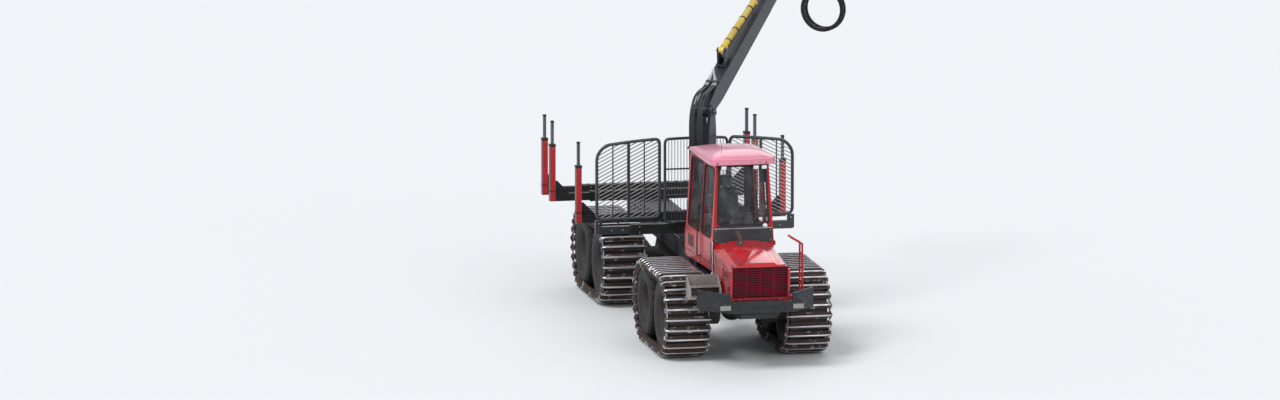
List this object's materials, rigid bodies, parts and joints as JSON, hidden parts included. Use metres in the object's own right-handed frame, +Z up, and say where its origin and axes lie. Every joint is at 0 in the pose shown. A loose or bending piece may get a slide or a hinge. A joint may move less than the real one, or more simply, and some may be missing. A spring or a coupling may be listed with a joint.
{
  "type": "forestry forwarder",
  "caption": "Articulated eight-wheel forwarder with band tracks, a cab, a slewing log crane with grapple, and a load space between widened stakes.",
  "frame": {"origin": "on the ground, on the machine's centre line, straight under the steering pin", "axes": "+X to the machine's front, +Y to its left, +Z up"},
  "size_m": [10.59, 5.5286, 5.927],
  "materials": {
    "red_paint": "glossy red paint with dust",
    "roof_paint": "sun-bleached red paint",
    "grille_paint": "dark red paint, satin",
    "frame_paint": "dark blue-grey paint, worn",
    "crane_paint": "dark blue-black paint, satin",
    "wheel_paint": "dark paint with dried mud",
    "yellow_paint": "yellow paint, glossy",
    "step_paint": "muddy grey-brown paint",
    "black_steel": "black heat-proof paint",
    "engine_iron": "oily casting",
    "track_steel": "steel polished by the ground on its lugs, rusty and muddy below",
    "rod_steel": "hard chrome",
    "tyre_rubber": "matt rubber with brown mud",
    "window_glass": "clear safety pane",
    "seat_cloth": "dark woven cloth",
    "cab_plastic": "dark moulded plastic"
  },
  "bodies": {
    "front_unit": {"front_frame": "frame_paint", "front_bumper": "frame_paint", "engine": "engine_iron", "cab_shell": "red_paint", "cab_roof": "roof_paint", "cab_windows": "window_glass", "driver_seat": "seat_cloth", "cab_console": "cab_plastic", "access_steps": "step_paint", "front_bogies": "frame_paint", "front_wheels": "wheel_paint", "front_tyres": "tyre_rubber", "front_tracks": "track_steel"},
    "cab_door": {"cab_door": "red_paint", "door_window": "window_glass"},
    "hood": {"hood": "red_paint", "grille": "grille_paint", "exhaust_stack": "black_steel"},
    "centre_joint": {"centre_joint": "frame_paint"},
    "rear_unit": {"rear_frame": "frame_paint", "rear_bogies": "frame_paint", "rear_wheels": "wheel_paint", "rear_tyres": "tyre_rubber", "rear_tracks": "track_steel", "headboard_middle": "frame_paint", "bolsters": "frame_paint"},
    "bunk_left": {"headboard_left": "frame_paint", "stakes_left": "red_paint"},
    "bunk_right": {"headboard_right": "frame_paint", "stakes_right": "red_paint"},
    "crane": {"crane_pillar": "crane_paint"},
    "inner_boom": {"inner_boom": "crane_paint"},
    "outer_boom": {"outer_boom": "crane_paint"},
    "boom_extension": {"boom_extension": "crane_paint"},
    "lift_barrel": {"lift_barrel": "crane_paint"},
    "lift_rod": {"lift_rod": "rod_steel"},
    "jib_barrel": {"jib_barrel": "yellow_paint"},
    "jib_rod": {"jib_rod": "rod_steel"},
    "tip_link": {"tip_link": "crane_paint"},
    "rotator": {"rotator": "black_steel"},
    "grapple": {"grapple_head": "crane_paint"},
    "jaw_near": {"grapple_jaw_near": "crane_paint"},
    "jaw_far": {"grapple_jaw_far": "crane_paint"},
    "grapple_barrel": {"grapple_barrel": "crane_paint"},
    "grapple_rod": {"grapple_rod": "rod_steel"}
  },
  "joints": [
    {"name": "steering", "type": "hinge", "parent": "front_unit", "child": "centre_joint", "pos_m": [0, 0, 1.045], "axis": [0, 0, 1], "range_deg": [-42, 42]},
    {"name": "frame_roll", "type": "hinge", "parent": "centre_joint", "child": "rear_unit", "pos_m": [-0.35, 0, 1.045], "axis": [-1, 0, 0], "range_deg": [-15, 15]},
    {"name": "crane_slew", "type": "hinge", "parent": "rear_unit", "child": "crane", "pos_m": [-0.56, 0, 2.12], "axis": [0, 0, 1], "range_deg": [-158, 222]},
    {"name": "boom_lift", "type": "hinge", "parent": "crane", "child": "inner_boom", "pos_m": [-0.56, 0, 3.75], "axis": [0.5299, 0.848, 0], "range_deg": [-45.5, 49.5]},
    {"name": "boom_fold", "type": "hinge", "parent": "inner_boom", "child": "outer_boom", "pos_m": [-3.5452, 1.86536, 5.42899], "axis": [-0.5299, -0.848, 0], "range_deg": [-8, 126]},
    {"name": "boom_extend", "type": "slide", "parent": "outer_boom", "child": "boom_extension", "axis": [0.8364, -0.5227, -0.165], "range_m": [-1.6, 0]},
    {"name": "link_swing", "type": "hinge", "parent": "boom_extension", "child": "tip_link", "pos_m": [-5.80353, 3.27652, 5.87462], "axis": [0.5299, 0.848, 0], "range_deg": [-45, 100]},
    {"name": "rotator_swing", "type": "hinge", "parent": "tip_link", "child": "rotator", "pos_m": [-5.80353, 3.27652, 5.59462], "axis": [-0.848, 0.5299, 0], "range_deg": [-40, 40]},
    {"name": "rotator_spin", "type": "hinge", "parent": "rotator", "child": "grapple", "pos_m": [-5.80353, 3.27652, 5.31462], "axis": [0, 0, 1], "continuous": true},
    {"name": "jaw_near_open", "type": "hinge", "parent": "grapple", "child": "jaw_near", "pos_m": [-5.90951, 3.10691, 5.05432], "axis": [-0.848, 0.5299, 0], "range_deg": [0, 50]},
    {"name": "jaw_far_open", "type": "hinge", "parent": "grapple", "child": "jaw_far", "pos_m": [-5.69754, 3.44613, 5.05432], "axis": [-0.848, 0.5299, 0], "range_deg": [-50, 0]},
    {"name": "grapple_barrel_swing", "type": "hinge", "parent": "jaw_near", "child": "grapple_barrel", "pos_m": [-5.9678, 3.01362, 5.17432], "axis": [-0.848, 0.5299, 0], "range_deg": [-50, 0]},
    {"name": "grapple_rod_slide", "type": "slide", "parent": "grapple_barrel", "child": "grapple_rod", "axis": [0.5299, 0.848, 0], "range_m": [-0.2634, 0]},
    {"name": "cab_door_swing", "type": "hinge", "parent": "front_unit", "child": "cab_door", "pos_m": [2.775, 0.56898, 2], "axis": [0, 0, -1], "range_deg": [0, 80]},
    {"name": "hood_tilt", "type": "hinge", "parent": "front_unit", "child": "hood", "pos_m": [4.275, 0, 1.23], "axis": [0, 1, 0], "range_deg": [0, 60]},
    {"name": "bunk_left_slide", "type": "slide", "parent": "rear_unit", "child": "bunk_left", "axis": [0, -1, 0], "range_m": [0, 0.33]},
    {"name": "bunk_right_slide", "type": "slide", "parent": "rear_unit", "child": "bunk_right", "axis": [0, 1, 0], "range_m": [0, 0.33]},
    {"name": "lift_barrel_swing", "type": "hinge", "parent": "crane", "child": "lift_barrel", "pos_m": [-0.80593, 0.15368, 2.33], "axis": [0.5299, 0.848, 0], "range_deg": [-2.52, 2.33]},
    {"name": "lift_rod_slide", "type": "slide", "parent": "lift_barrel", "child": "lift_rod", "axis": [-0.0823, 0.0514, 0.9953], "range_m": [-0.3008, 0.3271]},
    {"name": "jib_barrel_swing", "type": "hinge", "parent": "inner_boom", "child": "jib_barrel", "pos_m": [-1.35798, 0.49863, 4.68076], "axis": [-0.5299, -0.848, 0], "range_deg": [-0.29, 1.55]},
    {"name": "jib_rod_slide", "type": "slide", "parent": "jib_barrel", "child": "jib_rod", "axis": [-0.7938, 0.496, 0.3519], "range_m": [-0.0448, 0.6754]}
  ],
  "couplings": [
    {"joint": "lift_barrel_swing", "follows": "boom_lift", "ratio": -0.04688},
    {"joint": "lift_rod_slide", "follows": "boom_lift", "m_per_rad": 0.3763},
    {"joint": "jib_barrel_swing", "follows": "boom_fold", "ratio": 0.01073},
    {"joint": "jib_rod_slide", "follows": "boom_fold", "m_per_rad": 0.30623},
    {"joint": "jaw_far_open", "follows": "jaw_near_open", "ratio": -1},
    {"joint": "grapple_barrel_swing", "follows": "jaw_near_open", "ratio": -1},
    {"joint": "grapple_rod_slide", "follows": "jaw_near_open", "m_per_rad": -0.30073}
  ]
}
